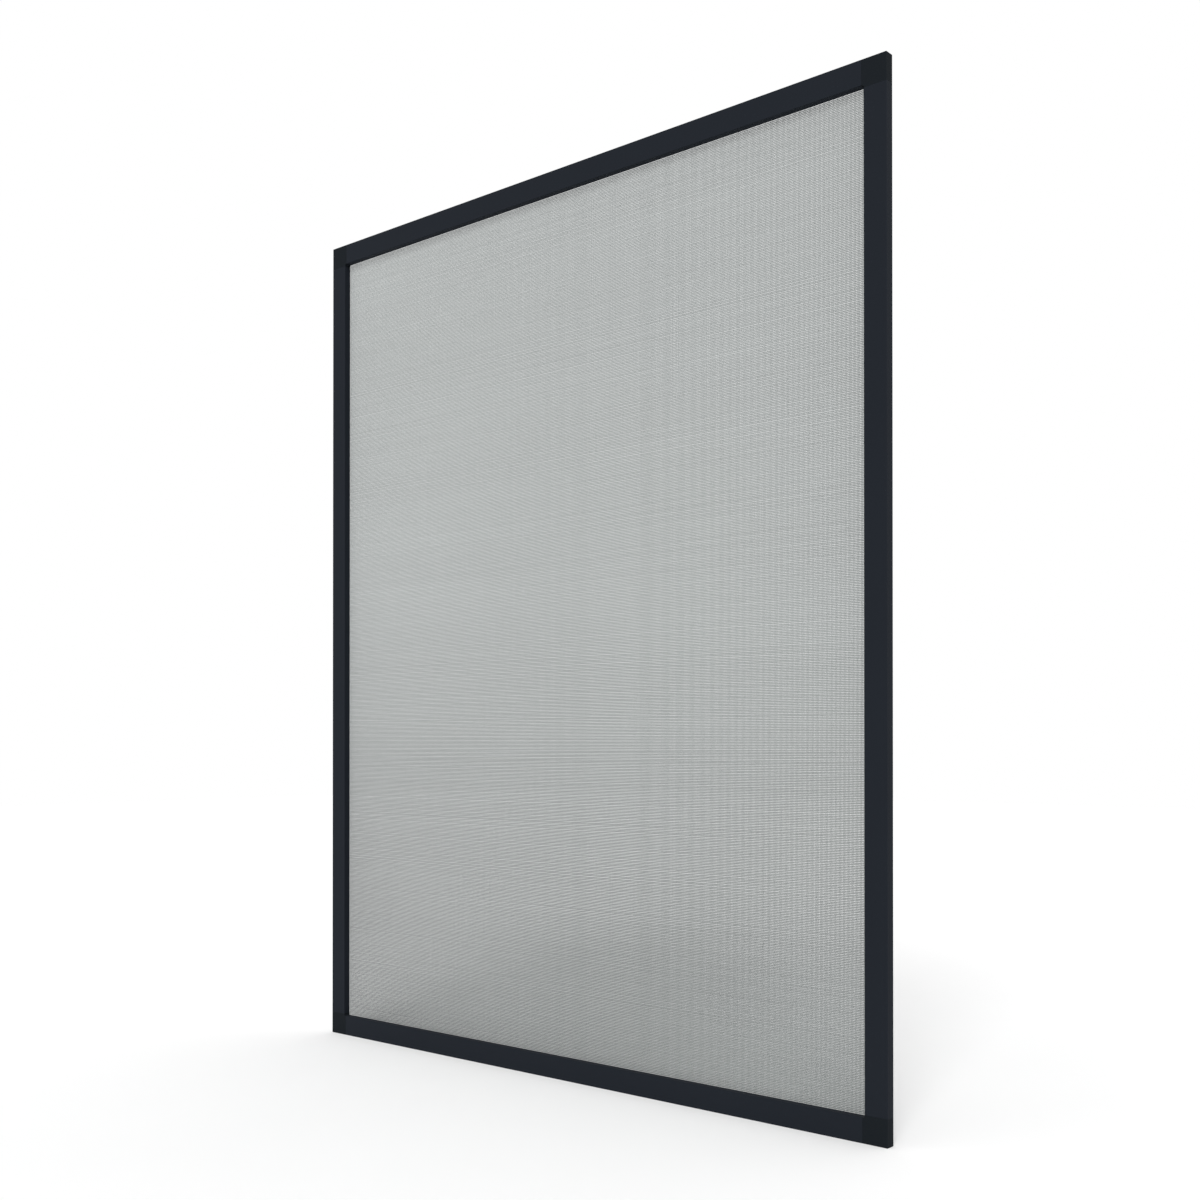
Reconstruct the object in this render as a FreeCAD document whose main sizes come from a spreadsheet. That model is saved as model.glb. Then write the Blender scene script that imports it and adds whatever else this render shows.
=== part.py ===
import FreeCAD, Part
import math
import os
import types

import Sketcher
from FreeCAD import Placement, Rotation, Vector

# Insect screen for a window: four aluminium profiles on four corner connectors, with a woven
# screen that round splines press into a groove all round. X runs along the width, Y from the
# front face to the back, Z up. The origin is the middle of the bottom rail's underside.
# In a profile's section, a place is given by how far it lies in from the frame's outer edge
# and how far back from the front face.

# Driving sizes in millimetres
SIZES = {
    # the whole frame
    "frame_width": 800.0,
    "frame_height": 1000.0,
    "frame_depth": 10.0,
    "face_width": 24.0,
    # aluminium section
    "wall": 1.1,
    "edge_round": 0.4,
    "rim_wall": 1.5,
    "rim_drop": 2.0,
    "groove_width": 4.2,
    "groove_depth": 5.4,
    "nib": 0.25,
    "nib_length": 0.8,
    "slot_width": 5.2,
    "slot_depth": 1.2,
    "slot_lip": 0.8,
    "slot_mouth": 3.2,
    # corner connector
    "joint_overhang": 2.5,
    "joint_gap": 0.1,
    "corner_round": 0.8,
    "inner_round": 1.8,
    "tongue_length": 46.0,
    "tongue_fit": 0.15,
    "tongue_root": 4.0,
    "tongue_tip": 4.0,
    "tooth_pitch": 5.0,
    "tooth_height": 0.7,
    "tip_taper": 1.2,
    "keel_setback": 5.0,
    "cell_length": 7.6,
    "cell_wall": 1.4,
    # woven screen
    "cloth": 0.3,
    "cloth_gap": 0.05,
    "ridge_width": 2.0,
    "ridge_height": 0.3,
    "tuck_height": 2.8,
    # spline and brush seal
    "spline_gap": 0.05,
    "brush_gap": 0.15,
    "pile_width": 2.4,
    "pile_height": 3.0,
    # hanging hooks and their screws
    "hook_spacing": 500.0,
    "hook_width": 14.0,
    "hook_steel": 1.2,
    "hook_bend": 0.6,
    "hook_seat": 7.8,
    "hook_margin": 0.9,
    "hook_grip": 14.0,
    "hook_reach": 7.2,
    "hook_hole": 3.2,
    "screw_edge": 3.0,
    "screw_core": 2.4,
    "screw_fit": 0.05,
    "screw_length": 6.0,
    "screw_head": 5.4,
    "screw_head_height": 1.8,
}

# How often the screen's pattern repeats
GAP_COLUMNS = 5
GAP_ROWS = 6
RIDGES_PER_GAP = 5

# The four sides and corners in the order in which a quarter turn about Y reaches them
QUARTER_TURN = 90.0
TURNS = {"top": 0, "right": 1, "bottom": 2, "left": 3}
CORNER_TURNS = {"top_left": 0, "top_right": 1, "bottom_right": 2, "bottom_left": 3}


class Length:
    """A length in millimetres that also carries the sheet expression it is worked out by."""

    def __init__(self, value, text=None):
        self.value = float(value)
        self.text = text if text is not None else repr(value)

    def joined(self, sign, other, value):
        return Length(value, f"({self.text} {sign} {other.text})")

    def __add__(self, other):
        other = as_length(other)
        return self.joined("+", other, self.value + other.value)

    def __sub__(self, other):
        other = as_length(other)
        return self.joined("-", other, self.value - other.value)

    def __mul__(self, other):
        other = as_length(other)
        return self.joined("*", other, self.value * other.value)

    def __truediv__(self, other):
        other = as_length(other)
        return self.joined("/", other, self.value / other.value)

    def __neg__(self):
        return Length(-self.value, f"(0 - {self.text})")


def as_length(number):
    """A plain number becomes a Length, and a Length stays one."""
    return number if isinstance(number, Length) else Length(number)


size = types.SimpleNamespace(**{name: Length(value, "Sizes." + name) for name, value in SIZES.items()})
zero = Length(0)

# Levels of the section, inwards from the outer edge
slot_inner = size.wall + size.slot_width
brush_line = size.wall + size.slot_width / 2
mouth_outer = brush_line - size.slot_mouth / 2
mouth_inner = brush_line + size.slot_mouth / 2
groove_inner = size.face_width - size.rim_wall
groove_outer = groove_inner - size.groove_width
land_inner = groove_outer - size.wall

# Levels of the section, back from the front face
back = size.frame_depth
half_depth = size.frame_depth / 2
lip_level = back - size.slot_lip
slot_floor = lip_level - size.slot_depth
groove_floor = back - size.groove_depth
rim_level = back - size.rim_drop
chamber_low = slot_floor - size.wall
chamber_high = back - size.wall

# The screen's fold in the groove, and the spline inside that fold
fold_inner = groove_inner - size.nib - size.cloth_gap
fold_outer = groove_outer + size.nib + size.cloth_gap
spline_size = fold_inner - fold_outer - size.cloth * 2 - size.spline_gap * 2
spline_line = (fold_inner + fold_outer) / 2
spline_level = groove_floor + size.cloth + size.spline_gap + spline_size / 2

# Lengths along the sides
half_width = size.frame_width / 2
half_height = size.frame_height / 2
block_arm = size.face_width + size.joint_overhang
open_width = size.frame_width - size.face_width * 2
open_height = size.frame_height - size.face_width * 2

# Places of the hooks on the top and bottom rails
seat_end = groove_outer - size.hook_margin
hook_line = seat_end - size.hook_seat
screw_line = seat_end - size.screw_edge
screw_hole = size.screw_core + size.screw_fit * 2

doc = FreeCAD.newDocument("WindowScreen")
sheet = doc.addObject("Spreadsheet::Sheet", "Sizes")
for row, (name, value) in enumerate(SIZES.items(), start=1):
    sheet.set(f"A{row}", name)
    sheet.set(f"B{row}", repr(value))
    sheet.setAlias(f"B{row}", name)
doc.recompute()

sub_parts = []


def bind(target, path, length):
    """Ties a property of an object to the sheet through its expression."""
    target.setExpression(path, length.text)


def place(target, x, z, turn):
    """Puts an object at (x, 0, z), turned about Y by a number of quarter turns."""
    target.Placement = Placement(Vector(x.value, 0, z.value), Rotation(Vector(0, 1, 0), QUARTER_TURN * turn))
    bind(target, "Placement.Base.x", x)
    bind(target, "Placement.Base.z", z)


def new_body(label, x, z, turn, kept=True):
    """A body of its own, placed at (x, 0, z); one that is kept becomes a sub-part."""
    body = doc.addObject("PartDesign::Body", label)
    body.Label = label
    place(body, x, z, turn)
    if kept:
        sub_parts.append(body)
    return body


def towards(corner, other, distance):
    """The point at a distance from a corner along the straight edge to its neighbour."""
    point = []
    for here, there in zip(corner[:2], other[:2]):
        step = there.value - here.value
        if abs(step) < 1e-9:
            point.append(here)
        else:
            point.append(here + distance * int(math.copysign(1, step)))
    return tuple(point)


def edges_of(outline):
    """Splits an outline into edges (start, end, radius, corner); a third value rounds a corner."""
    points = []
    for index, corner in enumerate(outline):
        corner = tuple(as_length(value) for value in corner)
        if len(corner) == 2:
            points.append((corner, None, None))
            continue
        before = tuple(as_length(value) for value in outline[index - 1])
        after = tuple(as_length(value) for value in outline[(index + 1) % len(outline)])
        radius = corner[2]
        points.append((towards(corner, before, radius), radius, corner))
        points.append((towards(corner, after, radius), None, None))
    edges = []
    for index, (start, radius, corner) in enumerate(points):
        end = points[(index + 1) % len(points)][0]
        edges.append((start, end, radius, corner))
    return edges


def flat(point):
    """The plain vector of a pair of lengths."""
    return Vector(point[0].value, point[1].value, 0)


def draw_edge(sketch, start, end, radius, corner):
    """Adds one edge; returns its number and the numbers of its start and end points."""
    if radius is None:
        return sketch.addGeometry(Part.LineSegment(flat(start), flat(end))), 1, 2
    centre = flat(start) + flat(end) - flat(corner)
    first = flat(start) - centre
    last = flat(end) - centre
    anticlockwise = first.cross(last).z > 0
    if not anticlockwise:
        first, last = last, first
    circle = Part.Circle(centre, Vector(0, 0, 1), radius.value)
    angles = [math.atan2(arm.y, arm.x) for arm in (first, last)]
    arc = sketch.addGeometry(Part.ArcOfCircle(circle, angles[0], angles[1]))
    return (arc, 1, 2) if anticlockwise else (arc, 2, 1)


def hold_point(number, end, point):
    """The two constraints that hold a point at its distances from the sketch's axes."""
    return [
        (Sketcher.Constraint(kind, -1, 1, number, end, length.value), length)
        for kind, length in zip(("DistanceX", "DistanceY"), point)
    ]


def constrain(sketch, held):
    """Adds (constraint, length) pairs to a sketch and ties each length to the sheet."""
    numbers = sketch.addConstraint([constraint for constraint, _ in held])
    for number, (_, length) in zip(numbers, held):
        if length is not None:
            bind(sketch, f"Constraints[{number}]", length)


def draw_outline(sketch, outline):
    """Draws a closed outline, every corner held at its distance from the sketch's axes."""
    edges = edges_of(outline)
    drawn = [draw_edge(sketch, *edge) for edge in edges]
    held = []
    for index, (start, _, radius, _) in enumerate(edges):
        number, start_point, end_point = drawn[index]
        following, following_point, _ = drawn[(index + 1) % len(drawn)]
        joint = Sketcher.Constraint("Coincident", number, end_point, following, following_point)
        held.append((joint, None))
        held += hold_point(number, start_point, start)
        if radius is not None:
            held.append((Sketcher.Constraint("Radius", number, radius.value), radius))
    constrain(sketch, held)


def draw_circle(sketch, centre, radius):
    """Draws a circle, its centre held at its distance from the sketch's axes."""
    ring = sketch.addGeometry(Part.Circle(flat(centre), Vector(0, 0, 1), radius.value))
    round_size = (Sketcher.Constraint("Radius", ring, radius.value), radius)
    constrain(sketch, hold_point(ring, 3, centre) + [round_size])


def new_sketch(body, name, role, offset, outlines):
    """A sketch on one of the body's origin planes, moved along that plane's normal."""
    sketch = body.newObject("Sketcher::SketchObject", f"{body.Name}_{name}_sketch")
    plane = [item for item in body.Origin.OriginFeatures if item.Role == role][0]
    sketch.AttachmentSupport = [(plane, "")]
    sketch.MapMode = "FlatFace"
    sketch.AttachmentOffset = Placement(Vector(0, 0, offset.value), Rotation())
    bind(sketch, "AttachmentOffset.Base.z", offset)
    for outline in outlines:
        draw_outline(sketch, outline)
    return sketch


def section_point(inwards, backwards):
    """A place in a profile's section, as (Y, Z) about the rail's outer edge."""
    return (backwards - half_depth, -inwards)


def extrude_section(body, name, outlines, length, circle=None):
    """Pads a section, drawn on the YZ plane, evenly to both sides along X."""
    sketch = new_sketch(body, name, "YZ_Plane", zero, outlines)
    if circle:
        draw_circle(sketch, *circle)
    pad = body.newObject("PartDesign::Pad", f"{body.Name}_{name}")
    pad.Profile = sketch
    pad.SideType = "Symmetric"
    bind(pad, "Length", length)
    return pad


def add_layer(body, name, outlines, front, rear):
    """Pads outlines seen from the front, between two levels behind the front face."""
    sketch = new_sketch(body, name, "XZ_Plane", half_depth - front, outlines)
    pad = body.newObject("PartDesign::Pad", f"{body.Name}_{name}")
    pad.Profile = sketch
    pad.Reversed = True
    bind(pad, "Length", rear - front)
    return pad


def cut_layer(body, name, outlines, front, rear):
    """Pockets outlines seen from the front, between two levels behind the front face."""
    sketch = new_sketch(body, name, "XZ_Plane", half_depth - front, outlines)
    pocket = body.newObject("PartDesign::Pocket", f"{body.Name}_{name}")
    pocket.Profile = sketch
    pocket.Reversed = False
    bind(pocket, "Length", rear - front)
    return pocket


def rectangle(left, low, right, high):
    """A rectangle's four corners."""
    return [(left, low), (right, low), (right, high), (left, high)]


def frame_rectangle(inset):
    """The rectangle that lies a given distance inside the frame's outer edge."""
    return rectangle(inset - half_width, inset, half_width - inset, size.frame_height - inset)


# Aluminium profiles: one extruded section, cut square at both ends. Behind the plain face it
# holds a stepped chamber for the corner tongues, a T-slot for the brush seal near the outer edge
# and the spline groove near the inner edge. The groove's inner wall stops short of the back, and
# the screen lies on that rim.
def profile_outline():
    """The section's outside, from the front face round the inner edge, grooves and back."""
    nib_foot = rim_level - size.nib_length
    places = [
        (size.face_width, zero, size.edge_round),
        (size.face_width, rim_level),
        (groove_inner - size.nib, rim_level),
        (groove_inner - size.nib, nib_foot),
        (groove_inner, nib_foot),
        (groove_inner, groove_floor),
        (groove_outer, groove_floor),
        (groove_outer, nib_foot),
        (groove_outer + size.nib, nib_foot),
        (groove_outer + size.nib, rim_level),
        (groove_outer, rim_level),
        (groove_outer, back),
        (mouth_inner, back),
        (mouth_inner, lip_level),
        (slot_inner, lip_level),
        (slot_inner, slot_floor),
        (size.wall, slot_floor),
        (size.wall, lip_level),
        (mouth_outer, lip_level),
        (mouth_outer, back),
        (zero, back),
        (zero, zero, size.edge_round),
    ]
    return [section_point(*spot[:2]) + tuple(spot[2:]) for spot in places]


def chamber_outline():
    """The stepped chamber, one wall inside the face, the slot, the land and the groove."""
    under_groove = groove_floor - size.wall
    places = [
        (size.wall, size.wall),
        (size.face_width - size.wall, size.wall),
        (size.face_width - size.wall, under_groove),
        (land_inner, under_groove),
        (land_inner, chamber_high),
        (slot_inner + size.wall, chamber_high),
        (slot_inner + size.wall, chamber_low),
        (size.wall, chamber_low),
    ]
    return [section_point(*spot) for spot in places]


def make_profile(label, x, z, turn, side):
    """One profile between the two corner blocks of a side of the given length."""
    body = new_body(label, x, z, turn)
    length = side - (block_arm + size.joint_gap) * 2
    extrude_section(body, "section", [profile_outline(), chamber_outline()], length)
    return body


def drill_hook_holes(body):
    """Two round holes through a rail's back wall, one under each hook."""
    sketch = new_sketch(body, "holes", "XZ_Plane", half_depth - chamber_high, [])
    for side in (-1, 1):
        draw_circle(sketch, (size.hook_spacing / 2 * side, -screw_line), screw_hole / 2)
    pocket = body.newObject("PartDesign::Pocket", f"{body.Name}_holes")
    pocket.Profile = sketch
    bind(pocket, "Length", size.wall)
    return pocket


top_rail = make_profile("top_rail", zero, size.frame_height, TURNS["top"], size.frame_width)
bottom_rail = make_profile("bottom_rail", zero, zero, TURNS["bottom"], size.frame_width)
make_profile("left_stile", -half_width, half_height, TURNS["left"], size.frame_height)
make_profile("right_stile", half_width, half_height, TURNS["right"], size.frame_height)
for rail in (top_rail, bottom_rail):
    drill_hook_holes(rail)


# Corner connectors: a moulded L-shaped block with the profile's outer form, its slot and groove
# turning the corner, and two barbed tongues that are driven into the chambers. One moulding fits
# all four corners. It is drawn as the top left one: one arm along +X, the other down.
def bent_strip(outer, inner):
    """An L-shaped strip that follows both arms, between two distances from the outer edges."""
    return [
        (block_arm, -outer), (outer, -outer), (outer, -block_arm),
        (inner, -block_arm), (inner, -inner), (block_arm, -inner),
    ]


def on_both_arms(outline):
    """Lays an outline given as (along the arm from its end, inwards) on each of the two arms."""
    along = [(block_arm + reach, -inwards) for reach, inwards in outline]
    down = [(inwards, -(block_arm + reach)) for reach, inwards in outline]
    return [along, down]


def tongue_outline():
    """A tongue seen from the front: root, a row of barbs along both sides, tapered tip."""
    outer = size.wall + size.tongue_fit
    inner = land_inner - size.tongue_fit
    outer_low = outer + size.tooth_height
    inner_low = inner - size.tooth_height
    barbed = size.tongue_length - size.tongue_root - size.tongue_tip
    teeth = int(barbed.value // size.tooth_pitch.value)
    outer_side = [(zero, outer), (size.tongue_root, outer)]
    inner_side = [(zero, inner), (size.tongue_root, inner)]
    for tooth in range(1, teeth + 1):
        foot = size.tongue_root + size.tooth_pitch * tooth
        outer_side.append((foot, outer_low))
        inner_side.append((foot, inner_low))
        if tooth < teeth:
            outer_side.append((foot, outer))
            inner_side.append((foot, inner))
    outer_side.append((size.tongue_length, outer_low + size.tip_taper))
    inner_side.append((size.tongue_length, inner_low - size.tip_taper))
    return outer_side + inner_side[::-1]


def cell_outlines(outer, inner, reach):
    """Square cells that lighten a tongue, in a row along each arm with a wall between them."""
    outlines = []
    pitch = size.cell_length + size.cell_wall
    for cell in range(int((reach - size.cell_wall).value // pitch.value)):
        start = size.cell_wall + pitch * cell
        square = rectangle(start, outer + size.cell_wall, start + size.cell_length, inner - size.cell_wall)
        outlines += on_both_arms(square)
    return outlines


def round_front_edges(body, block):
    """Rounds the block's front edges, apart from those that butt against the profiles."""
    names = []
    for number, edge in enumerate(block.Shape.Edges, start=1):
        ends = [vertex.Point for vertex in edge.Vertexes]
        at_front = all(abs(point.y + half_depth.value) < 1e-6 for point in ends)
        at_joint = all(abs(point.x - block_arm.value) < 1e-6 for point in ends)
        at_joint = at_joint or all(abs(point.z + block_arm.value) < 1e-6 for point in ends)
        if at_front and not at_joint:
            names.append(f"Edge{number}")
    fillet = body.newObject("PartDesign::Fillet", f"{body.Name}_front_round")
    fillet.Base = (block, names)
    bind(fillet, "Radius", size.edge_round)
    return fillet


def make_corner(label, x, z, turn):
    """One corner connector."""
    body = new_body(label, x, z, turn)
    block_outline = [
        (zero, zero, size.corner_round),
        (block_arm, zero),
        (block_arm, -size.face_width),
        (size.face_width, -size.face_width, size.inner_round),
        (size.face_width, -block_arm),
        (zero, -block_arm),
    ]
    block = add_layer(body, "block", [block_outline], zero, back)
    doc.recompute()
    round_front_edges(body, block)
    cut_layer(body, "mouth", [bent_strip(mouth_outer, mouth_inner)], lip_level, back)
    cut_layer(body, "slot", [bent_strip(size.wall, slot_inner)], slot_floor, lip_level)
    cut_layer(body, "rim", [bent_strip(groove_inner, size.face_width + size.inner_round)], rim_level, back)
    cut_layer(body, "groove", [bent_strip(groove_outer, groove_inner)], groove_floor, back)
    tongue_front = size.wall + size.tongue_fit
    tongue_back = chamber_low - size.tongue_fit
    keel_outer = slot_inner + size.wall + size.tongue_fit
    keel_inner = land_inner - size.tongue_fit - size.tooth_height
    keel_back = chamber_high - size.tongue_fit
    keel_reach = size.tongue_length - size.keel_setback
    keel = rectangle(zero, keel_outer, keel_reach, keel_inner)
    add_layer(body, "tongues", on_both_arms(tongue_outline()), tongue_front, tongue_back)
    add_layer(body, "keels", on_both_arms(keel), tongue_back, keel_back)
    cells = cell_outlines(keel_outer, keel_inner, keel_reach)
    cut_layer(body, "cells", cells, tongue_front + size.cell_wall, keel_back)
    return body


corner_places = {
    "top_left": (-half_width, size.frame_height),
    "top_right": (half_width, size.frame_height),
    "bottom_right": (half_width, zero),
    "bottom_left": (-half_width, zero),
}
for corner, (x, z) in corner_places.items():
    make_corner(f"corner_{corner}", x, z, CORNER_TURNS[corner])


# Woven screen: one cloth that lies flat on the rims and folds down the groove's inner wall,
# along its floor and up its outer wall. Its weave is drawn large: weft ridges on the front and
# warp ridges on the back, which run on across square gaps in the cloth between them.
def repeat(body, feature, *directions):
    """Repeats a feature along one or two sketch axes, each given as (axis, count, pitch)."""
    pattern = body.newObject("PartDesign::LinearPattern", f"{feature.Name}_row")
    pattern.Originals = [feature]
    for suffix, (axis, count, pitch) in zip(("", "2"), directions):
        setattr(pattern, f"Direction{suffix}", (feature.Profile[0], [axis]))
        setattr(pattern, f"Occurrences{suffix}", count)
        bind(pattern, f"Length{suffix}", pitch * (count - 1))
    pattern.Refine = False
    body.Tip = pattern
    return pattern


def make_screen():
    """The cloth with its fold, its gaps and its ridges both ways."""
    body = new_body("insect_mesh", zero, zero, 0)
    cloth_back = rim_level + size.cloth
    inner_wall = fold_inner - size.cloth
    outer_wall = fold_outer + size.cloth
    add_layer(body, "cloth", [frame_rectangle(inner_wall)], rim_level, cloth_back)

    rings = {
        "inner_fold": (inner_wall, fold_inner, cloth_back),
        "floor_fold": (fold_outer, fold_inner, groove_floor + size.cloth),
        "outer_fold": (fold_outer, outer_wall, groove_floor + size.tuck_height),
    }
    for name, (outer, inner, rear) in rings.items():
        add_layer(body, name, [frame_rectangle(outer), frame_rectangle(inner)], groove_floor, rear)

    block_width = open_width / GAP_COLUMNS
    block_height = open_height / GAP_ROWS
    half_ridge = size.ridge_width / 2
    left = -open_width / 2
    low = size.face_width
    square = rectangle(left + half_ridge, low + half_ridge,
                       left + block_width - half_ridge, low + block_height - half_ridge)
    gap = cut_layer(body, "gap", [square], rim_level, cloth_back)
    repeat(body, gap, ("H_Axis", GAP_COLUMNS, block_width), ("V_Axis", GAP_ROWS, block_height))

    column_pitch = block_width / RIDGES_PER_GAP
    row_pitch = block_height / RIDGES_PER_GAP
    first_column = left + column_pitch
    first_row = low + row_pitch
    ridge_left = left + size.cloth_gap
    ridge_low = low + size.cloth_gap
    weft_strip = rectangle(ridge_left, first_row - half_ridge, -ridge_left, first_row + half_ridge)
    warp_strip = rectangle(first_column - half_ridge, ridge_low,
                           first_column + half_ridge, size.frame_height - ridge_low)
    weft = add_layer(body, "weft", [weft_strip], rim_level - size.ridge_height, rim_level)
    weft.Refine = False
    repeat(body, weft, ("V_Axis", GAP_ROWS * RIDGES_PER_GAP - 1, row_pitch))
    warp = add_layer(body, "warp", [warp_strip], cloth_back, cloth_back + size.ridge_height)
    warp.Refine = False
    repeat(body, warp, ("H_Axis", GAP_COLUMNS * RIDGES_PER_GAP - 1, column_pitch))
    return body


make_screen()


# Splines: round cords pressed into the fold of the cloth. The top and bottom ones run the whole
# width of the groove, and the side ones are cut to fit between them.
spline_end = fold_outer + size.cloth + size.spline_gap
spline_side_end = spline_end + spline_size + size.spline_gap
spline_section = (section_point(spline_line, spline_level), spline_size / 2)

# Brush seals: a flat backing that slides in the T-slot, with a strip of pile that stands out of
# its mouth behind the frame. The top and bottom ones run through, the side ones fit between.
backing_outer = size.wall + size.brush_gap
backing_inner = slot_inner - size.brush_gap
pile_outer = brush_line - size.pile_width / 2
pile_inner = brush_line + size.pile_width / 2
backing_front = slot_floor + size.brush_gap
backing_back = lip_level - size.brush_gap
pile_tip = back + size.pile_height
brush_end = mouth_outer + size.brush_gap
brush_side_end = backing_inner + size.brush_gap
brush_outline = [section_point(*spot) for spot in (
    (backing_outer, backing_front),
    (backing_inner, backing_front),
    (backing_inner, backing_back),
    (pile_inner, backing_back),
    (pile_inner, pile_tip),
    (pile_outer, pile_tip),
    (pile_outer, backing_back),
    (backing_outer, backing_back),
)]

# Each side with its place, its full length and how far its spline and brush stop short
side_places = {
    "top": (zero, size.frame_height, size.frame_width, spline_end, brush_end),
    "bottom": (zero, zero, size.frame_width, spline_end, brush_end),
    "left": (-half_width, half_height, size.frame_height, spline_side_end, brush_side_end),
    "right": (half_width, half_height, size.frame_height, spline_side_end, brush_side_end),
}
for side, (x, z, length, spline_stop, brush_stop) in side_places.items():
    spline = new_body(f"spline_{side}", x, z, TURNS[side])
    extrude_section(spline, "cord", [], length - spline_stop * 2, spline_section)
    brush = new_body(f"brush_seal_{side}", x, z, TURNS[side])
    extrude_section(brush, "strip", [brush_outline], length - brush_stop * 2)


# Hanging hooks: steel strip bent twice. The seat lies on the rail's back beside the groove, the
# web runs back through the window's opening, and the end turns outwards behind the window's lip.
def hook_outline():
    """The strip seen from its side, with both bends rounded."""
    outer_bend = size.hook_bend + size.hook_steel
    seat_back = back + size.hook_steel
    web_inner = hook_line + size.hook_steel
    grip = back + size.hook_grip
    tip = hook_line - size.hook_reach
    places = [
        (seat_end, back),
        (seat_end, seat_back),
        (web_inner, seat_back, size.hook_bend),
        (web_inner, grip + size.hook_steel, outer_bend),
        (tip, grip + size.hook_steel),
        (tip, grip),
        (hook_line, grip, size.hook_bend),
        (hook_line, back, outer_bend),
    ]
    return [section_point(*spot[:2]) + tuple(spot[2:]) for spot in places]


def make_hook(label, x, z, turn):
    """One hook with the hole for its screw."""
    body = new_body(label, x, z, turn)
    extrude_section(body, "strip", [hook_outline()], size.hook_width)
    sketch = new_sketch(body, "hole", "XZ_Plane", half_depth - back, [])
    draw_circle(sketch, (zero, -screw_line), size.hook_hole / 2)
    pocket = body.newObject("PartDesign::Pocket", f"{body.Name}_hole")
    pocket.Profile = sketch
    bind(pocket, "Length", size.hook_steel)
    return body


# Screws: one through each hook into the rail's back wall, with a flat round head. The threads,
# the point and the drive recess are left plain.
def make_screw(name, x, z, turn):
    """One screw, turned about its own axis and placed through its hook."""
    body = new_body(name, x, z, turn, kept=False)
    head_rest = half_depth + size.hook_steel
    head_top = head_rest + size.screw_head_height
    head_radius = size.screw_head / 2
    core_radius = size.screw_core / 2
    tip = head_rest - size.screw_length
    outline = [
        (tip, zero),
        (tip, core_radius),
        (head_rest, core_radius),
        (head_rest, head_radius),
        (head_top, head_radius),
        (head_top, zero),
    ]
    sketch = new_sketch(body, "profile", "YZ_Plane", zero, [outline])
    turned = body.newObject("PartDesign::Revolution", f"{body.Name}_turned")
    turned.Profile = sketch
    turned.ReferenceAxis = (sketch, ["H_Axis"])
    turned.Angle = 360.0
    return body


screws = []
hook_places = {
    "top": (size.frame_height, size.frame_height - screw_line),
    "bottom": (zero, screw_line),
}
for side, (z, screw_z) in hook_places.items():
    for hand, half_spacing in (("left", -size.hook_spacing / 2), ("right", size.hook_spacing / 2)):
        make_hook(f"hook_{side}_{hand}", half_spacing, z, TURNS[side])
        screws.append(make_screw(f"screw_{side}_{hand}", half_spacing, screw_z, TURNS[side]))

hook_screws = doc.addObject("Part::Compound", "hook_screws")
hook_screws.Label = "hook_screws"
hook_screws.Links = screws
sub_parts.append(hook_screws)

doc.recompute()

for item in doc.Objects:
    for state in ("Invalid", "Error"):
        if state in item.State:
            raise RuntimeError(f"{item.Label} is {state}")
for part in sub_parts:
    if part.Shape.isNull() or not part.Shape.isValid():
        raise RuntimeError(f"{part.Label} has no valid shape")
    wanted = len(screws) if part is hook_screws else 1
    if len(part.Shape.Solids) != wanted:
        raise RuntimeError(f"{part.Label} has {len(part.Shape.Solids)} solids, not {wanted}")

os.makedirs("parts", exist_ok=True)
for part in sub_parts:
    part.Shape.exportStep(os.path.join("parts", part.Label + ".step"))
    box = part.Shape.BoundBox
    print(f"{part.Label:22s} volume {part.Shape.Volume:10.1f}  X {box.XMin:8.2f} {box.XMax:8.2f}"
          f"  Y {box.YMin:6.2f} {box.YMax:6.2f}  Z {box.ZMin:8.2f} {box.ZMax:8.2f}")
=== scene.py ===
import math

import bpy
import numpy as np
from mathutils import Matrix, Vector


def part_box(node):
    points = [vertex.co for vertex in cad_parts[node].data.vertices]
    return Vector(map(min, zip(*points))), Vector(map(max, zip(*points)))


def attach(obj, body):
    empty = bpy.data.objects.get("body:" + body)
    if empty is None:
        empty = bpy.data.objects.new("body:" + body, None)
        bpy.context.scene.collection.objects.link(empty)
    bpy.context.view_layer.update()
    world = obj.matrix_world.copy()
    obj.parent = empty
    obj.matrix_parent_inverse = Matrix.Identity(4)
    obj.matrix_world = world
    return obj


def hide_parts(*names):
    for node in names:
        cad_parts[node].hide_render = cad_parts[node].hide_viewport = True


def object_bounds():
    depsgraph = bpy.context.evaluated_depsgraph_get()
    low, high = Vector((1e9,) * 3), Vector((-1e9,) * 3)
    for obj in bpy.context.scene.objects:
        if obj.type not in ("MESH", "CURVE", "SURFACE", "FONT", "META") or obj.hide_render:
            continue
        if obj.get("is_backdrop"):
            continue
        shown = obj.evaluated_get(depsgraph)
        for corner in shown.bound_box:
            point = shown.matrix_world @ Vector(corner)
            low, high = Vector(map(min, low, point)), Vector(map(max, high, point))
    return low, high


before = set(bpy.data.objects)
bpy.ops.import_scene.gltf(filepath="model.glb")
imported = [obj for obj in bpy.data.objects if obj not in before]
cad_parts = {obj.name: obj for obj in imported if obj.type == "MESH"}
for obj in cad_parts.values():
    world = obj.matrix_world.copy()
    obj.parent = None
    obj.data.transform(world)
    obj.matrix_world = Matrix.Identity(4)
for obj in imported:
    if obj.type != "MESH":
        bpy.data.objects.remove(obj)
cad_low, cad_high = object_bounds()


# Camera, floor and light: the frame stands on a plain white floor in front of a white backdrop,
# seen from the right of its middle, a little over a third of the way up. Lengths are in metres
# and angles in degrees, and the focal length and the shift are in pixels of the photograph.
PHOTO_SIZE = 1200
FOCAL_PIXELS = 1430
SHIFT_PIXELS = 135.1
SENSOR = 36.0
CAMERA_PLACE = (1.058, -1.1565, 0.368)
CAMERA_TURN = 41.11
CAMERA_TILT = 0.336
FLOOR_HALF = 7.0
FLOOR_MOTTLE = 3.0
FLOOR_TONES = (0.95, 0.98)
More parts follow.
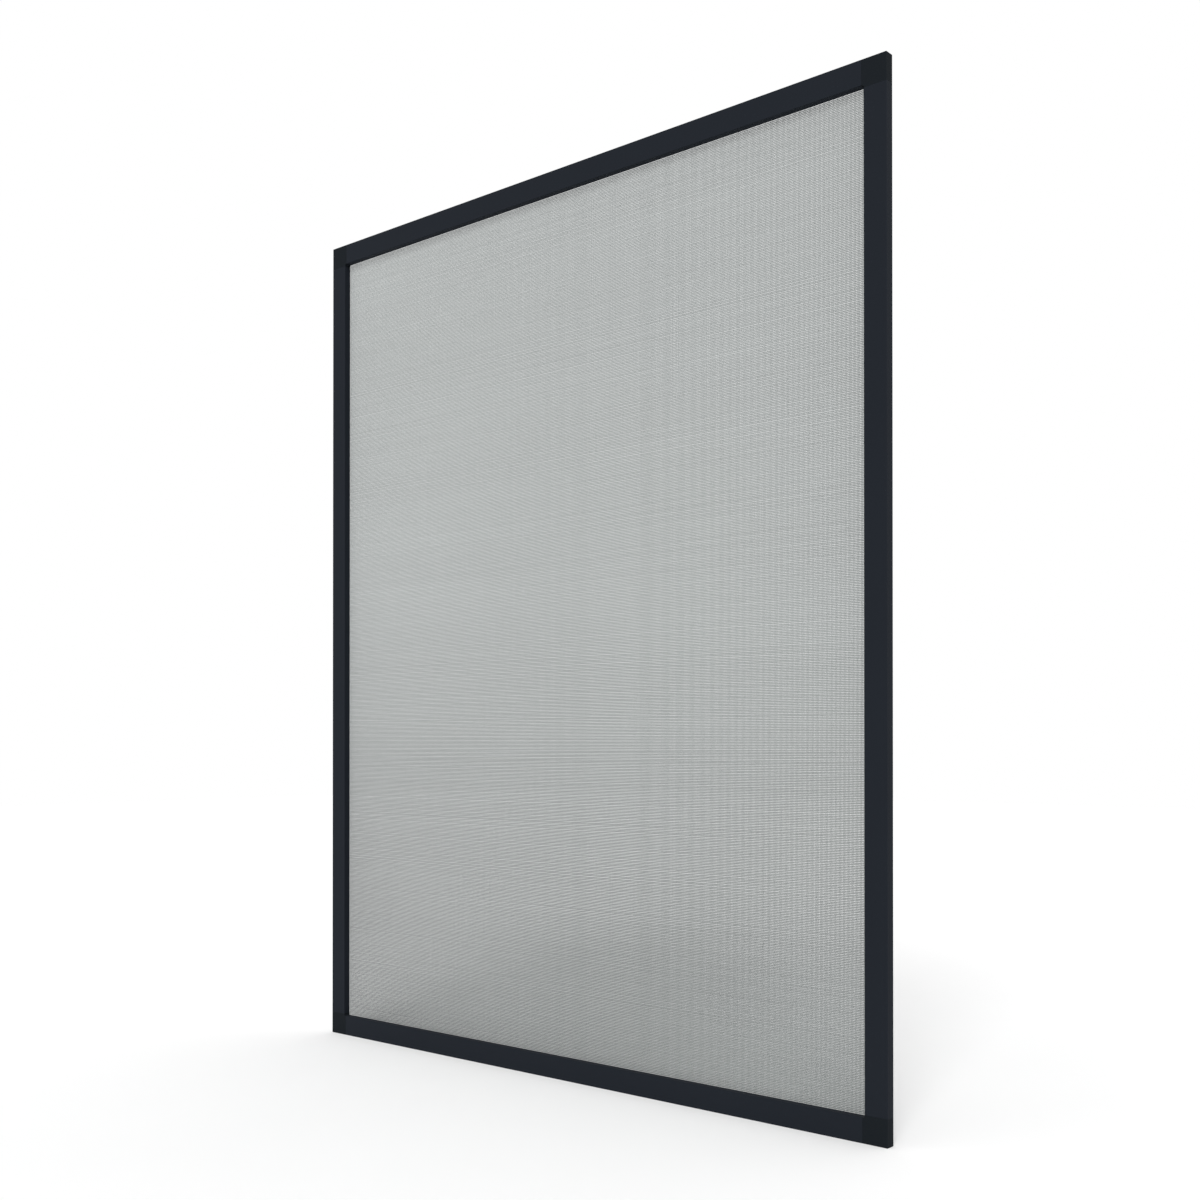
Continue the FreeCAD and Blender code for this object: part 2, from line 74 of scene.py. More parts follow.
WORLD_LIGHT = 0.75
SUN_POWER = 1.7
SUN_SOFTNESS = 24.0
SUN_HEADING = (-0.5, 0.866)
SUN_HEIGHT = 40.0


def add_node(tree, kind, values=None, **settings):
    """Adds a node, sets its plain settings and the values of its named or numbered inputs."""
    node = tree.nodes.new(kind)
    for name, value in settings.items():
        setattr(node, name, value)
    for name, value in (values or {}).items():
        if isinstance(value, bpy.types.NodeSocket):
            tree.links.new(value, node.inputs[name])
        else:
            node.inputs[name].default_value = value
    return node


def computed(tree, operation, *values):
    """What a Math node makes of one, two or three values."""
    return add_node(tree, "ShaderNodeMath", dict(enumerate(values)), operation=operation).outputs[0]


def ramped(tree, value, first, last, start=0.0, stop=1.0, **settings):
    """Goes from first to last as value goes from start to stop, and no further."""
    return add_node(tree, "ShaderNodeMapRange", {0: value, 1: start, 2: stop, 3: first, 4: last},
                    **settings).outputs["Result"]


def noise(tree, place, scale, detail=2.0):
    """The value of a noise texture at a place."""
    return add_node(tree, "ShaderNodeTexNoise", {"Vector": place, "Scale": scale, "Detail": detail}
                    ).outputs["Fac"]


def object_place(tree):
    """The place on the frame, in metres."""
    return add_node(tree, "ShaderNodeTexCoord").outputs["Object"]


def new_material(name):
    """An empty node material; returns it with its tree and output node."""
    material = bpy.data.materials.new(name)
    material.use_nodes = True
    tree = material.node_tree
    tree.nodes.clear()
    return material, tree, tree.nodes.new("ShaderNodeOutputMaterial")


def make_floor():
    """A flat square of pale matt paper, faintly mottled, which keeps the frame's shadow."""
    corners = [(-FLOOR_HALF, -FLOOR_HALF, 0), (FLOOR_HALF, -FLOOR_HALF, 0),
               (FLOOR_HALF, FLOOR_HALF, 0), (-FLOOR_HALF, FLOOR_HALF, 0)]
    mesh = bpy.data.meshes.new("floor")
    mesh.from_pydata(corners, [], [(0, 1, 2, 3)])
    floor = bpy.data.objects.new("floor", mesh)
    bpy.context.collection.objects.link(floor)
    material, tree, output = new_material("pale_floor")
    tone = ramped(tree, noise(tree, object_place(tree), FLOOR_MOTTLE), *FLOOR_TONES)
    shader = add_node(tree, "ShaderNodeBsdfDiffuse", {"Color": tone})
    tree.links.new(shader.outputs[0], output.inputs["Surface"])
    mesh.materials.append(material)
    floor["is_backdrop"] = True


def make_world():
    """White to the camera, in reflections and through glass, dimmer as a light."""
    world = bpy.data.worlds.new("studio")
    bpy.context.scene.world = world
    world.use_nodes = True
    tree = world.node_tree
    tree.nodes.clear()
    ray = add_node(tree, "ShaderNodeLightPath").outputs
    seen = computed(tree, "MAXIMUM", ray["Is Camera Ray"], ray["Is Glossy Ray"])
    shown = computed(tree, "MAXIMUM", seen, ray["Is Transmission Ray"])
    level = ramped(tree, shown, WORLD_LIGHT, 1.0)
    background = add_node(tree, "ShaderNodeBackground", {"Color": (1, 1, 1, 1), "Strength": level})
    output = add_node(tree, "ShaderNodeOutputWorld")
    tree.links.new(background.outputs[0], output.inputs["Surface"])


def make_camera():
    """The camera, level with the lower part of the frame and turned to its left."""
    lens = bpy.data.cameras.new("camera")
    lens.sensor_width = SENSOR
    lens.lens = FOCAL_PIXELS / PHOTO_SIZE * SENSOR
    lens.shift_y = SHIFT_PIXELS / PHOTO_SIZE
    holder = bpy.data.objects.new("camera", lens)
    bpy.context.collection.objects.link(holder)
    holder.location = CAMERA_PLACE
    holder.rotation_euler = (math.radians(90 + CAMERA_TILT), 0, math.radians(CAMERA_TURN))
    bpy.context.scene.camera = holder


def make_sun():
    """One very soft distant lamp from behind the camera, a little to its left and high up."""
    lamp = bpy.data.lights.new("key_light", "SUN")
    lamp.energy = SUN_POWER
    lamp.angle = math.radians(SUN_SOFTNESS)
    holder = bpy.data.objects.new("key_light", lamp)
    bpy.context.collection.objects.link(holder)
    turn = math.atan2(SUN_HEADING[1], SUN_HEADING[0]) - math.pi / 2
    holder.rotation_euler = (math.radians(90 - SUN_HEIGHT), 0, turn)


make_floor()
make_world()
make_camera()
make_sun()
bpy.context.scene.view_settings.view_transform = "Standard"


# Profiles: four extruded aluminium lengths, sawn square and powder coated in dark anthracite.
# The coat is thin, satin and slightly pebbled, and is worn a little lighter along the frame's
# outer front edge.
MM = 0.001
HALF_WIDTH = round(cad_high[0], 6)
FRAME_HEIGHT = round(cad_high[2], 6)
HALF_HEIGHT = FRAME_HEIGHT / 2
FRONT = round(cad_low[1], 6)
EDGE_REACH = 1.2 * MM
EDGE_WEAR = 60.0
EDGE_POLISH = 0.8
RELIEF = 0.05 * MM


def new_group(name, inputs, outputs):
    """A shader node group whose inputs and outputs are (name, type) pairs. Returns it with the
    sockets that its nodes read from and those that they feed."""
    group = bpy.data.node_groups.new(name, "ShaderNodeTree")
    for way, pairs in (("INPUT", inputs), ("OUTPUT", outputs)):
        for label, kind in pairs:
            group.interface.new_socket(name=label, in_out=way, socket_type=kind)
    given = add_node(group, "NodeGroupInput").outputs
    result = add_node(group, "NodeGroupOutput").inputs
    return group, given, result


def make_grain_group():
    """Pebbled grain: two layers of noise as a height, and slow patches as a value round 1."""
    group, given, result = new_group(
        "coat_grain",
        [("Place", "NodeSocketVector"), ("Grain", "NodeSocketFloat"),
         ("Patch", "NodeSocketFloat"), ("Spread", "NodeSocketFloat")],
        [("Height", "NodeSocketFloat"), ("Tone", "NodeSocketFloat")])
    fine = noise(group, given["Place"], given["Grain"])
    pebble = add_node(group, "ShaderNodeTexVoronoi",
                      {"Vector": given["Place"], "Scale": given["Grain"]}, feature="SMOOTH_F1")
    height = computed(group, "ADD", fine, pebble.outputs["Distance"])
    patch = noise(group, given["Place"], given["Patch"], detail=3.0)
    shifted = computed(group, "SUBTRACT", patch, 0.5)
    tone = computed(group, "MULTIPLY_ADD", shifted, given["Spread"], 1.0)
    group.links.new(height, result["Height"])
    group.links.new(tone, result["Tone"])
    return group


def make_edge_group():
    """Wear along the frame's outer front edge, as a mask: 1 on that edge, and 0 where either the
    outline or the front is further off than the reach times a noise."""
    group, given, result = new_group(
        "outer_edge", [("Place", "NodeSocketVector"), ("Reach", "NodeSocketFloat")],
        [("Mask", "NodeSocketFloat")])
    axes = add_node(group, "ShaderNodeSeparateXYZ", {0: given["Place"]}).outputs
    off_centre = computed(group, "ABSOLUTE", axes["X"])
    from_side = computed(group, "SUBTRACT", HALF_WIDTH, off_centre)
    above_middle = computed(group, "SUBTRACT", axes["Z"], HALF_HEIGHT)
    off_middle = computed(group, "ABSOLUTE", above_middle)
    from_end = computed(group, "SUBTRACT", HALF_HEIGHT, off_middle)
    from_outline = computed(group, "MINIMUM", from_side, from_end)
    from_front = computed(group, "ADD", axes["Y"], -FRONT)
    furthest = computed(group, "MAXIMUM", from_outline, from_front)
    rubbed = noise(group, given["Place"], EDGE_WEAR, detail=4.0)
    uneven = computed(group, "MULTIPLY", rubbed, given["Reach"])
    mask = ramped(group, furthest, 1.0, 0.0, stop=uneven, interpolation_type="SMOOTHSTEP")
    group.links.new(mask, result["Mask"])
    return group


coat_grain = make_grain_group()
outer_edge = make_edge_group()


def grained(tree, place, grain, patch, spread):
    """Places the grain group in a material; returns its outputs."""
    values = {"Place": place, "Grain": grain, "Patch": patch, "Spread": spread}
    return add_node(tree, "ShaderNodeGroup", values, node_tree=coat_grain).outputs


def finish_material(tree, output, colour, tone, rough, height, bump, **more):
    """Tones a colour, raises the bump and ends a material in one Principled shader."""
    toned = add_node(tree, "ShaderNodeVectorMath", {0: colour, "Scale": tone}, operation="SCALE")
    relief = add_node(tree, "ShaderNodeBump",
                      {"Strength": bump, "Distance": RELIEF, "Height": height})
    shader = add_node(tree, "ShaderNodeBsdfPrincipled",
                      {"Base Color": toned.outputs[0], "Roughness": rough,
                       "Normal": relief.outputs["Normal"], **more})
    tree.links.new(shader.outputs[0], output.inputs["Surface"])


def coated_material(name, colour, worn_colour, roughness, grain, patch, spread, bump, specular):
    """A grained coat: patches shift its colour, and its worn edges are lighter and smoother.
    Inputs 6 and 7 and output 2 of a Mix node are its colours."""
    material, tree, output = new_material(name)
    place = object_place(tree)
    surface = grained(tree, place, grain, patch, spread)
    edge = add_node(tree, "ShaderNodeGroup", {"Place": place, "Reach": EDGE_REACH},
                    node_tree=outer_edge).outputs["Mask"]
    worn = add_node(tree, "ShaderNodeMix", {0: edge, 6: (*colour, 1), 7: (*worn_colour, 1)},
                    data_type="RGBA").outputs[2]
    polish = ramped(tree, edge, roughness, roughness * EDGE_POLISH)
    finish_material(tree, output, worn, surface["Tone"], polish, surface["Height"], bump,
                    **{"Specular IOR Level": specular})
    return material


def dress(names, material):
    """Gives each named CAD node one material."""
    for name in names:
        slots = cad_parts[name].data.materials
        slots.clear()
        slots.append(material)


powder_coat = coated_material(
    "powder_coat", colour=(0.0132, 0.0160, 0.0212), worn_colour=(0.0150, 0.0180, 0.0236),
    roughness=0.55, grain=1400.0, patch=7.0, spread=0.10, bump=0.35, specular=0.03)
dress(("top_rail", "bottom_rail", "left_stile", "right_stile"), powder_coat)


# Corner connectors: injection-moulded glass-filled polyamide, a touch darker than the coat and
# with a fine spark-eroded grain. Their tongues are driven into the profiles' chambers.
moulded_plastic = coated_material(
    "moulded_plastic", colour=(0.0095, 0.0120, 0.0148), worn_colour=(0.012, 0.015, 0.018),
    roughness=0.62, grain=2100.0, patch=14.0, spread=0.12, bump=0.5, specular=0.03)
dress(("corner_top_left", "corner_top_right", "corner_bottom_right", "corner_bottom_left"),
      moulded_plastic)


# Screen: coated glass-fibre yarn woven open, 16 level yarns to the inch and 18 upright ones. It is
# stretched over the rims and rolled into the groove all round: down its inner wall, along its
# floor and up its outer wall.
INCH = 25.4 * MM
WARP_PITCH = INCH / 18
WEFT_PITCH = INCH / 16
YARN_HALF_WIDTH = 0.40 * MM
YARN_HALF_THICK = 0.15 * MM
WEFT_LEVEL = 3.15 * MM
WARP_RISE = 0.15 * MM
# The fold: its walls inwards from the frame's outline, its floor and top along Y.
FOLD_INNER = 22.05 * MM
FOLD_OUTER = 18.75 * MM
FOLD_FLOOR = -0.25 * MM
FOLD_TOP = 2.2 * MM
RIM_DROP = 0.2 * MM
RIM_REACH = 0.3 * MM
SEED = 7
FLAT_STATIONS = 11
WAVER = 0.02 * MM
WEFT_SPREAD = 0.07 * MM
WARP_SPREAD = 0.02 * MM
YARN_COLOUR = (0.304, 0.326, 0.321)
# Tone streaks: scale along X, Y and Z, lowest and highest value.
STREAKS = (
    ((2.0, 1.0, 240.0), 0.92, 1.08),
    ((0.7, 1.0, 9.0), 0.90, 1.10),
)
# Tone fades that paint light and shade onto the cloth: slant, start, stop, first and last
# value, over the sum slant * X + Z in metres.
PAINTED_LIGHT_FADES = (
    (0.1, 0.22, 0.52, 0.70, 1.0),  # painted shade: the lower half darker
    (1.0, -0.35, -0.05, 0.75, 1.0),  # painted shade: the lower left corner darker still
    (-1.0, -0.22, 0.02, 1.18, 1.0),  # painted light: the lower right corner lighter
    (0.0, 0.91, 0.98, 1.0, 0.88),  # painted shadow of the top rail, just below it
    (-0.08, 0.93, 1.01, 1.0, 1.25),  # painted light: the upper left corner paler
    (-100.0, -40.0, 40.0, 0.97, 1.06),  # painted light: paler from right to left
)


def fold_path(lift):
    """The fold's section from its tucked end to the flat cloth, as (inwards, backwards) points,
    moved off the groove's walls by lift."""
    return np.array([
        (FOLD_OUTER + lift, FOLD_TOP),
        (FOLD_OUTER + lift, FOLD_FLOOR + lift),
        (FOLD_INNER - lift, FOLD_FLOOR + lift),
        (FOLD_INNER - lift, WEFT_LEVEL + lift - RIM_DROP),
        (FOLD_INNER - lift + RIM_REACH, WEFT_LEVEL + lift),
    ])


def yarn_tubes(centres, across, half_wide, half_thick):
    """Closed four-sided yarns: every station of each centre line carries a diamond whose long
    diagonal lies along the direction across, and whose short one is at right angles to both.
    centres is (yarns, stations, 3); returns vertices and faces."""
    yarns, stations, _ = centres.shape
    along = np.gradient(centres, axis=1)
    along /= np.linalg.norm(along, axis=2, keepdims=True)
    out = np.cross(along, np.broadcast_to(across, along.shape))
    out /= np.linalg.norm(out, axis=2, keepdims=True)
    wide = np.asarray(across, float)[None, None, :] * half_wide
    thick = out * half_thick
    rings = np.stack([centres + wide, centres + thick, centres - wide, centres - thick], axis=2)
    points = rings.reshape(-1, 3)
    place = np.arange(yarns)[:, None] * stations + np.arange(stations - 1)[None, :]
    first = place.reshape(-1) * 4
    sides = []
    for corner in range(4):
        following = (corner + 1) % 4
        sides.append(np.stack([first + corner, first + following,
                               first + following + 4, first + corner + 4], axis=1))
    start = np.arange(yarns) * stations * 4
    finish = start + (stations - 1) * 4
    sides.append(np.stack([start + 3, start + 2, start + 1, start], axis=1))
    sides.append(np.stack([finish, finish + 1, finish + 2, finish + 3], axis=1))
    return points, np.concatenate(sides)


def build_mesh(name, parts, smooth=True):
    """Joins (vertices, quads) parts into one mesh object."""
    points = np.concatenate([part[0] for part in parts])
    offsets = np.cumsum([0] + [len(part[0]) for part in parts[:-1]])
    quads = np.concatenate([part[1] + offset for part, offset in zip(parts, offsets)])
    mesh = bpy.data.meshes.new(name)
    mesh.vertices.add(len(points))
    mesh.vertices.foreach_set("co", points.astype(np.float32).ravel())
    mesh.loops.add(quads.size)
    mesh.loops.foreach_set("vertex_index", quads.astype(np.int32).ravel())
    mesh.polygons.add(len(quads))
    mesh.polygons.foreach_set("loop_start", np.arange(0, quads.size, 4, dtype=np.int32))
    mesh.update(calc_edges=True)
    mesh.validate()
    mesh.polygons.foreach_set("use_smooth", np.full(len(mesh.polygons), smooth))
    piece = bpy.data.objects.new(name, mesh)
    bpy.context.collection.objects.link(piece)
    return piece


def yarn_family(flat_reach, run_reach, pitch, spread, lift, rng):
    """Yarns that run along the second axis, from groove to groove, and are set out along the
    first at an even pitch, each off its place by about spread and at most twice that, and
    wavering a little. Returns centres as (set out, run, level)."""
    count = int(round(2 * flat_reach / pitch))
    flat = np.linspace(-flat_reach, flat_reach, count + 2)[1:-1]
    flat += rng.normal(0, spread, len(flat)).clip(-2 * spread, 2 * spread)
    fold = fold_path(lift)
    edge_run = run_reach - fold[:, 0]
    inner = np.linspace(-edge_run[-1], edge_run[-1], FLAT_STATIONS)[1:-1]
    run = np.concatenate([-edge_run, inner, edge_run[::-1]])
    level = np.concatenate([fold[:, 1], np.full(len(inner), WEFT_LEVEL + lift), fold[::-1, 1]])
    centres = np.zeros((len(flat), len(run), 3))
    centres[:, :, 0] = flat[:, None]
    centres[:, :, 1] = run[None, :]
    centres[:, :, 2] = level[None, :]
    wander = rng.standard_normal((len(flat), len(inner))) * WAVER
    centres[:, len(fold):-len(fold), 0] += wander
    return centres


def tucked_yarns(lift, run_reach, pitch):
    """Yarns that lie along the two grooves of a pair of sides: they step round the fold's
    section at the yarn pitch and stop at the corner's mitre. Returns their places inwards,
    their levels and their half lengths."""
    fold = fold_path(lift)
    legs = np.linalg.norm(np.diff(fold, axis=0), axis=1)
    reach = np.concatenate([[0], np.cumsum(legs)])
    spots = np.arange(pitch / 2, reach[-1], pitch)
    inwards = np.interp(spots, reach, fold[:, 0])
    level = np.interp(spots, reach, fold[:, 1])
    return inwards, level, run_reach - inwards


rng = np.random.default_rng(SEED)
weft = yarn_family(HALF_HEIGHT - FOLD_INNER, HALF_WIDTH, WEFT_PITCH, WEFT_SPREAD, 0.0, rng)
warp = yarn_family(HALF_WIDTH - FOLD_INNER, HALF_HEIGHT, WARP_PITCH, WARP_SPREAD, WARP_RISE, rng)
weft = np.stack([weft[:, :, 1], weft[:, :, 2], weft[:, :, 0] + HALF_HEIGHT], axis=2)
warp = np.stack([warp[:, :, 0], warp[:, :, 2], warp[:, :, 1] + HALF_HEIGHT], axis=2)
parts = [yarn_tubes(weft, (0, 0, 1), YARN_HALF_WIDTH, YARN_HALF_THICK),
         yarn_tubes(warp, (1, 0, 0), YARN_HALF_WIDTH, YARN_HALF_THICK)]
inwards, level, half_run = tucked_yarns(0.0, HALF_WIDTH, WEFT_PITCH)
for side in (-1, 1):
    height = HALF_HEIGHT + side * (HALF_HEIGHT - inwards)
    ends = [np.stack([half_run * end, level, height], axis=1) for end in (-1, 1)]
    centres = np.stack(ends, axis=1)
    parts.append(yarn_tubes(centres, (0, 0, 1), YARN_HALF_THICK, YARN_HALF_THICK))
inwards, level, half_run = tucked_yarns(WARP_RISE, HALF_HEIGHT, WARP_PITCH)
for side in (-1, 1):
    x = side * (HALF_WIDTH - inwards)
    ends = [np.stack([x, level, HALF_HEIGHT + half_run * end], axis=1) for end in (-1, 1)]
    centres = np.stack(ends, axis=1)
    parts.append(yarn_tubes(centres, (1, 0, 0), YARN_HALF_THICK, YARN_HALF_THICK))
screen = build_mesh("woven_screen", parts)


def drawn_noise(tree, place, scale, detail):
    """Noise drawn out into lines: scale is its fineness along X, Y and Z."""
    drawn = add_node(tree, "ShaderNodeMapping", {"Vector": place, "Scale": scale})
    return noise(tree, drawn.outputs[0], 1.0, detail)


def make_yarn_material():
    """Grey coated yarn, a touch green, with a fine twist as bump. Streaks and patches of tone
    run across the whole cloth, and fades of tone paint light and shade onto it."""
    material, tree, output = new_material("coated_yarn")
    place = object_place(tree)
    axes = add_node(tree, "ShaderNodeSeparateXYZ", {0: place}).outputs
    surface = grained(tree, place, grain=2600.0, patch=3.0, spread=0.14)
    tone = surface["Tone"]
    for scale, lowest, highest in STREAKS:
        streak = ramped(tree, drawn_noise(tree, place, scale, 2.0), lowest, highest)
        tone = computed(tree, "MULTIPLY", tone, streak)
    # Painted light and shade: each fade darkens or lightens the yarn's tone where shade or light
    # falls.
    for slant, start, stop, first, last in PAINTED_LIGHT_FADES:
        along = computed(tree, "MULTIPLY_ADD", axes["X"], slant, axes["Z"])
        painted_light = ramped(tree, along, first, last, start, stop)
        tone = computed(tree, "MULTIPLY", tone, painted_light)
    rough = ramped(tree, surface["Height"], 0.45, 0.6)
    finish_material(tree, output, YARN_COLOUR, tone, rough, surface["Height"], bump=0.4,
                    **{"Specular IOR Level": 0.25})
    return material


screen.data.materials.append(make_yarn_material())
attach(screen, "root")
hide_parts("insect_mesh")


# Splines: soft ribbed cord pressed into the fold of the cloth. The top and bottom ones run the
# whole width of the groove, and the side ones are cut to fit between them.
SPLINE_RADIUS = 1.4 * MM
SPLINE_SIDES = 12
RIB_PITCH = 3.0 * MM
RIB_DEPTH = 0.10
DRIFT = 0.04 * MM
DRIFT_STATIONS = 24


def closed_tube(rings):
    """A tube through rings (stations, sides, 3) whose two ends are closed by fans of quads."""
    stations, sides, _ = rings.shape
    ring = np.arange(sides)
    first = np.arange(stations - 1)[:, None] * sides
    after = np.roll(ring, -1)
    walls = np.stack([first + ring, first + after,
                      first + sides + after, first + sides + ring], axis=2)
    step = np.arange(1, sides - 1, 2)
    fan = np.stack([np.zeros_like(step), step, step + 1, step + 2], axis=1)
    quads = np.concatenate([walls.reshape(-1, 4), fan[:, ::-1], fan + (stations - 1) * sides])
    return rings.reshape(-1, 3), quads


def ribbed_cord(length, rng):
    """A round cord about the X axis: its radius dips once each rib, r = R (1 - d |sin(pi x / p)|),
    and its line drifts a little as rolled in by hand."""
    half = length / 2
    along = np.linspace(-half, half, int(length / RIB_PITCH) * 2 + 1)
    radius = SPLINE_RADIUS * (1 - (np.arange(len(along)) % 2) * RIB_DEPTH)
    bends = np.linspace(-half, half, DRIFT_STATIONS)
    drift = np.interp(along, bends, rng.standard_normal(DRIFT_STATIONS)) * DRIFT
    angle = np.arange(SPLINE_SIDES) * 2 * math.pi / SPLINE_SIDES
    return closed_tube(np.stack([
        np.broadcast_to(along[:, None], (len(along), SPLINE_SIDES)),
        radius[:, None] * np.cos(angle)[None, :],
        radius[:, None] * np.sin(angle)[None, :] + drift[:, None]], axis=2))


def node_box(name):
    """A CAD node's box: its low and high corner and its middle."""
    low, high = np.asarray(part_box(name), float)
    return low, high, (low + high) / 2


def on_side(points, side, middle):
    """Lays points drawn along X about the origin on one side of the frame, about its middle."""
    if side in ("left", "right"):
        points = np.stack([points[:, 2], points[:, 1], points[:, 0]], axis=1) * (1, 1, -1)
    return points + middle


def make_cord_material():
    """Soft black cord, greyed in patches by handling."""
    material, tree, output = new_material("spline_cord")
    surface = grained(tree, object_place(tree), grain=1700.0, patch=30.0, spread=0.3)
    rough = ramped(tree, surface["Height"], 0.55, 0.75)
    finish_material(tree, output, (0.018, 0.018, 0.019), surface["Tone"], rough,
                    surface["Height"], bump=0.3)
    return material


cord_material = make_cord_material()
for side in ("top", "bottom", "left", "right"):
    low, high, middle = node_box(f"spline_{side}")
    points, quads = ribbed_cord((high - low).max(), rng)
    cord = build_mesh(f"ribbed_cord_{side}", [(on_side(points, side, middle), quads)])
    cord.data.materials.append(cord_material)
    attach(cord, "root")
    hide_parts(f"spline_{side}")


# Brush seals: rows of grey polypropylene pile on a woven backing that slides in the slot of the
# back, so that the pile closes the gap to the window frame.
PILE_ROWS = 4
PILE_HALF = 1.2 * MM
PILE_UNEVEN = 0.35 * MM
TUFT_PITCH = 0.8 * MM
TUFT_WIDTH = 0.55 * MM
TUFT_TAPER = 0.35
TUFT_SHIFT = 0.3
ROW_SHIFT = 0.1 * MM
LEAN_ALONG = 0.3 * MM
LEAN_ACROSS = 0.12 * MM
MOST_LEAN_ACROSS = 0.25 * MM
BACKING_THICK = 0.9 * MM
BACKING_PITCH = 2.5 * MM
BACKING_RIB = 0.06 * MM
TUFT_ROOT = 0.1 * MM
PILE_COLOUR = (0.10, 0.102, 0.106)


def pile_tufts(length, foot, tip, rng):
    """Tufts as thin four-sided spikes along X: foot square TUFT_WIDTH wide, tip about a third of
    that, leaning and cut a little unevenly."""
    columns = int(length / TUFT_PITCH)
    x = (np.arange(columns) + 0.5) / columns * length - length / 2
    row = ((np.arange(PILE_ROWS) + 0.5) / PILE_ROWS * 2 - 1) * (PILE_HALF - TUFT_WIDTH / 2)
    foot_along, foot_across = np.meshgrid(x, row, indexing="ij")
    count = foot_along.size
    foot_along = foot_along.ravel() + rng.uniform(-TUFT_SHIFT, TUFT_SHIFT, count) * TUFT_PITCH
    foot_across = foot_across.ravel() + rng.uniform(-ROW_SHIFT, ROW_SHIFT, count)
    lean_along = rng.normal(0, LEAN_ALONG, count)
    lean_across = np.clip(rng.normal(0, LEAN_ACROSS, count), -MOST_LEAN_ACROSS, MOST_LEAN_ACROSS)
    height = tip - rng.uniform(0, PILE_UNEVEN, count)
    corners = np.array([(-1, -1), (1, -1), (1, 1), (-1, 1)]) * TUFT_WIDTH / 2
    low = np.stack([foot_along[:, None] + corners[:, 0], np.full((count, 4), foot),
                    foot_across[:, None] + corners[:, 1]], axis=2)
    corners *= TUFT_TAPER
    high = np.stack([(foot_along + lean_along)[:, None] + corners[:, 0],
                     np.repeat(height[:, None], 4, axis=1),
                     (foot_across + lean_across)[:, None] + corners[:, 1]], axis=2)
    points = np.concatenate([low, high], axis=1).reshape(-1, 3)
    spike = np.array([(4, 5, 1, 0), (5, 6, 2, 1), (6, 7, 3, 2), (7, 4, 0, 3),
                      (7, 6, 5, 4), (0, 1, 2, 3)])
    quads = (spike[None] + np.arange(count)[:, None, None] * 8).reshape(-1, 4)
    return points, quads


def backing_strip(length, half_wide, front, rear):
    """The flat backing along X: a closed bar whose long edges are ribbed by its weave."""
    along = np.linspace(-length / 2, length / 2, int(length / BACKING_PITCH) + 1)
    wide = half_wide - (np.arange(len(along)) % 2) * BACKING_RIB
    lines = [np.stack([along, np.full_like(along, level), wide * side], axis=1)
             for side, level in ((-1, front), (-1, rear), (1, rear), (1, front))]
    return closed_tube(np.stack(lines, axis=1))


def make_pile_material(foot, tip):
    """Grey pile: tufts differ in tone, and painted shade makes them darker at the foot and paler
    towards the tip.
    """
    material, tree, output = new_material("brush_pile")
    place = object_place(tree)
    surface = grained(tree, place, grain=3000.0, patch=1100.0, spread=0.7)
    axes = add_node(tree, "ShaderNodeSeparateXYZ", {0: place}).outputs
    # Painted shade: the tufts are darkened towards their feet, where the pile shades them.
    rise = ramped(tree, axes["Y"], 0.45, 1.15, foot, tip)
    tone = computed(tree, "MULTIPLY", surface["Tone"], rise)
    rough = ramped(tree, surface["Height"], 0.7, 0.95)
    finish_material(tree, output, PILE_COLOUR, tone, rough, surface["Height"], bump=0.5,
                    **{"Sheen Weight": 0.4})
    return material


pile_material = make_pile_material(foot=3.9 * MM, tip=8.0 * MM)
for side in ("top", "bottom", "left", "right"):
    low, high, middle = node_box(f"brush_seal_{side}")
    spans = high - low
    front = (low - middle)[1]
    tip = (high - middle)[1]
    rear = front + BACKING_THICK
    strip = backing_strip(spans.max(), spans.min() / 2, front, rear)
    tufts = pile_tufts(spans.max(), rear - TUFT_ROOT, tip, rng)
    seal_parts = [(on_side(points, side, middle), quads) for points, quads in (strip, tufts)]
    seal = build_mesh(f"pile_seal_{side}", seal_parts, smooth=False)
    seal.data.materials.append(pile_material)
    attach(seal, "root")
    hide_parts(f"brush_seal_{side}")


# Hanging hooks: four lengths of stainless strip, brushed along their length, cut and bent twice.
# Each is screwed to the back of a rail and reaches behind the lip of the window frame.
def brushed_material(name, colour, fineness, roughness):
    """Brushed metal: noise drawn out along the strip gives its lines as tone and bump."""
    material, tree, output = new_material(name)
    place = object_place(tree)
    lines = drawn_noise(tree, place, fineness, 4.0)
    surface = grained(tree, place, grain=500.0, patch=160.0, spread=0.2)
    tone = computed(tree, "MULTIPLY", surface["Tone"], ramped(tree, lines, 0.85, 1.1))
    rough = ramped(tree, lines, roughness, roughness + 0.15)
    finish_material(tree, output, colour, tone, rough, lines, bump=0.15, Metallic=1.0)
    return material


brushed_steel = brushed_material(
    "brushed_steel", colour=(0.52, 0.52, 0.51), fineness=(3000.0, 60.0, 60.0), roughness=0.28)
dress(("hook_top_left", "hook_top_right", "hook_bottom_left", "hook_bottom_right"), brushed_steel)


# Hook screws: four zinc-plated self-tapping screws with a rounded pan head and a cross recess,
# each driven through its hook into the rail's back wall and left at its own angle.
SCREW_SIDES = 48
SHANK_STATIONS = 61
CORE_RADIUS = 1.15 * MM
POINT_RADIUS = 0.05 * MM
POINT_SLOPE = 0.6
THREAD_HEIGHT = 0.3 * MM
THREAD_PITCH = 1.2 * MM
THREAD_SHARPNESS = 3
HEAD_RADIUS = 2.7 * MM
HEAD_RIM = 0.6 * MM
HEAD_ROUND = 0.9 * MM
HEAD_CROWN = 0.3 * MM
HEAD_HEIGHT = HEAD_RIM + HEAD_ROUND + HEAD_CROWN
ROUND_STATIONS = 8
FACE_RADIUS = HEAD_RADIUS - HEAD_ROUND
FACE_CENTRE = 0.02 * MM
FACE_STATIONS = 18
RECESS_DEPTH = 1.1 * MM
RECESS_REACH = 1.5 * MM
RECESS_HALF_WIDTH = 0.42 * MM
RECESS_WALL = 0.12 * MM
RECESS_END = 0.5 * MM


